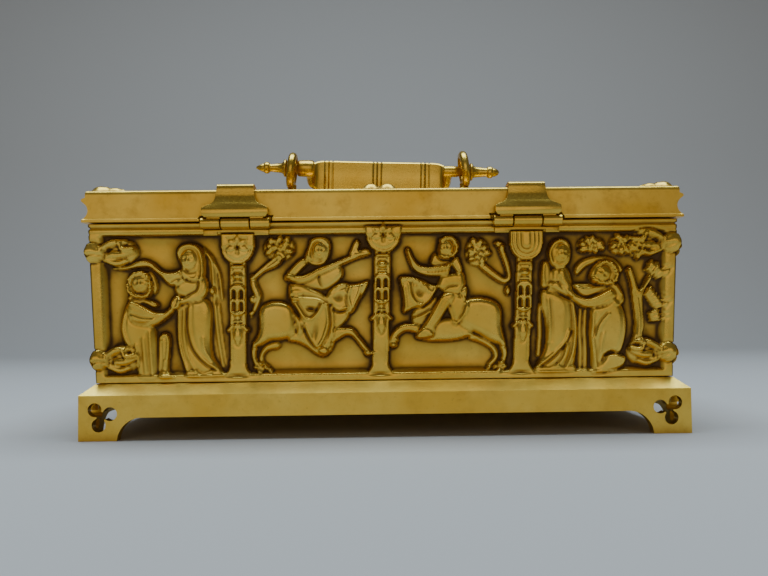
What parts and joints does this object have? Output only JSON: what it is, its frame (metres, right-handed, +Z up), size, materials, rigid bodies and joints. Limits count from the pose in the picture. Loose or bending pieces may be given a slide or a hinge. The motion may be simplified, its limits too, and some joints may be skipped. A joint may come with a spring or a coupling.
{
  "type": "cast brass casket",
  "caption": "Cast brass casket with a hinged lid, a swinging handle, relief walls of courtly figures and a pierced bracket-foot plinth.",
  "frame": {"origin": "on the ground, in the middle of the casket's footprint", "axes": "+Z up, the length along X, the hinged back at -Y, the opening side at +Y"},
  "size_m": [0.2, 0.1323, 0.1069],
  "materials": {
    "plinth_brass": "cast, worn bright on the ledge, browned in the corners",
    "wall_brass": "cast relief, dark brown patina in the ground, rubbed bright on the high parts",
    "lid_brass": "cast and filed, satin, with brown stains near the edges",
    "hinge_brass": "filed smooth, brighter than the castings",
    "handle_brass": "turned and filed, rubbed bright, warm"
  },
  "bodies": {
    "casket": {"plinth": "plinth_brass", "floor_plate": "wall_brass", "back_wall": "wall_brass", "right_wall": "wall_brass", "front_wall": "wall_brass", "left_wall": "wall_brass", "box_hinge_leaf_left": "hinge_brass", "box_hinge_leaf_right": "hinge_brass"},
    "lid": {"lid": "lid_brass", "lid_hinge_strap_left": "hinge_brass", "lid_hinge_strap_right": "hinge_brass", "handle_eye_left": "handle_brass", "handle_eye_right": "handle_brass"},
    "handle": {"handle_bail": "handle_brass"}
  },
  "joints": [
    {"name": "lid_hinge", "type": "hinge", "parent": "casket", "child": "lid", "pos_m": [0, -0.065, 0.0705], "axis": [1, 0, 0], "range_deg": [0, 105]},
    {"name": "handle_swing", "type": "hinge", "parent": "lid", "child": "handle", "pos_m": [0, 0, 0.09942], "axis": [0.9996, 0, -0.0299], "range_deg": [-36, 216]}
  ]
}
